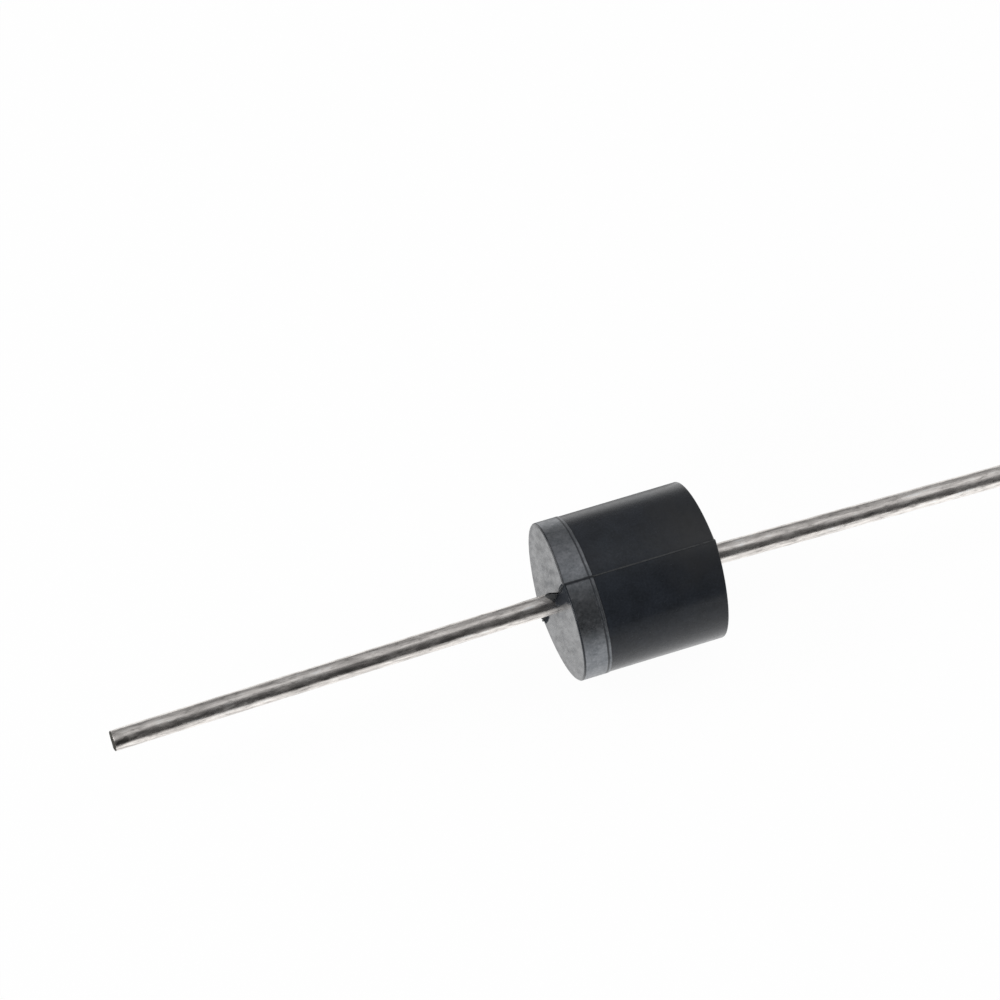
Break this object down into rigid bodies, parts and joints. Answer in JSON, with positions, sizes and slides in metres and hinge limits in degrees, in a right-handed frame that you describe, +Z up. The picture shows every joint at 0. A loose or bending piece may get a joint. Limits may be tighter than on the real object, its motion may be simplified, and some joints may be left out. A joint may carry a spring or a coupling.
{
  "type": "axial rectifier diode",
  "caption": "Black moulded cylindrical rectifier diode with a printed cathode band and a stiff tinned wire lead at each end, for through-hole mounting.",
  "frame": {"origin": "the middle of the barrel, on its axis", "axes": "+X along the barrel's axis, out of the plain (anode) end; the banded (cathode) end is at -X. +Z up as the diode lies on its barrel. The wires leave the barrel on the X axis and bend slightly down from it."},
  "size_m": [0.0602, 0.0092, 0.0092],
  "materials": {
    "moulding": "satin black filled epoxy, with a fine mottle and a moulding line",
    "ink": "matt grey printing ink, thin and slightly mottled",
    "tinned_wire": "satin tin plate with fine drawing lines and handling marks",
    "silicon": "polished grey",
    "solder": "dull grey",
    "coating": "milky soft silicone"
  },
  "bodies": {
    "root": {"case": "moulding", "cathode_band": "ink", "cathode_lead": "tinned_wire", "anode_lead": "tinned_wire", "silicon_die": "silicon", "cathode_solder": "solder", "anode_solder": "solder", "junction_coating": "coating"}
  },
  "joints": []
}
